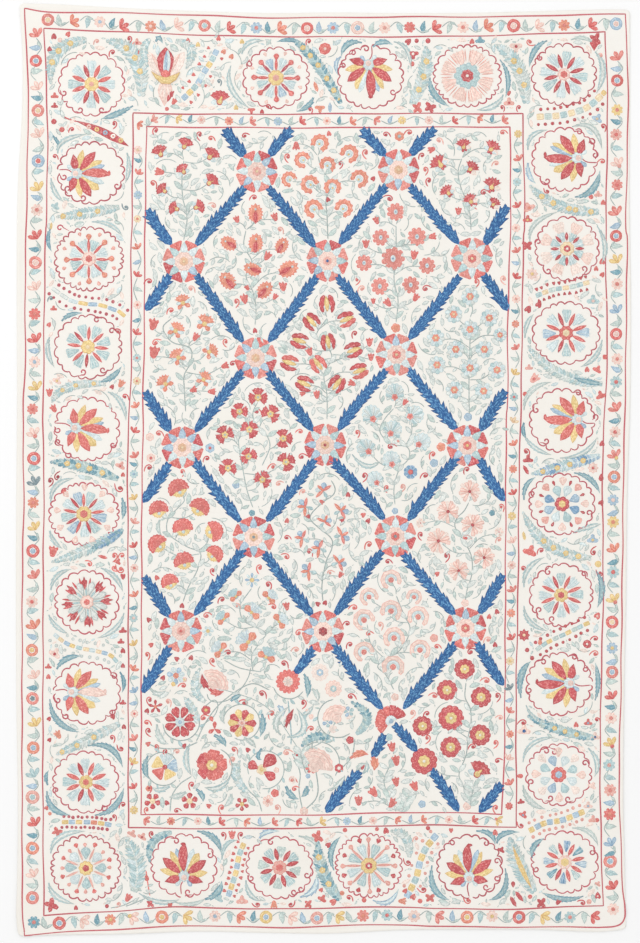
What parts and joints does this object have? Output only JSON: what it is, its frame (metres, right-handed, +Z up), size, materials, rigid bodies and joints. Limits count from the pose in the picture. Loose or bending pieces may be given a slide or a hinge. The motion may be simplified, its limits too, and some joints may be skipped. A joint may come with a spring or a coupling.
{
  "type": "suzani embroidered textile",
  "caption": "Flat rectangular embroidered cloth with a narrow turned hem, slightly uneven edges and softly lifted rims, lying face up.",
  "frame": {"origin": "middle of the cloth's own box, on the surface that it lies on", "axes": "+X across the width, +Y along the length towards the top edge of the design, +Z up out of the embroidered face"},
  "size_m": [1.5372, 2.3306, 0.0065],
  "materials": {
    "ground_cotton": "matte plain-woven ivory cotton",
    "line_thread": "chain-stitched coral and madder red thread",
    "silk_thread": "soft sheen embroidery silk in many colours",
    "indigo_thread": "soft sheen royal blue embroidery silk"
  },
  "bodies": {
    "root": {"embroidered_cloth": "ground_cotton"}
  },
  "joints": []
}
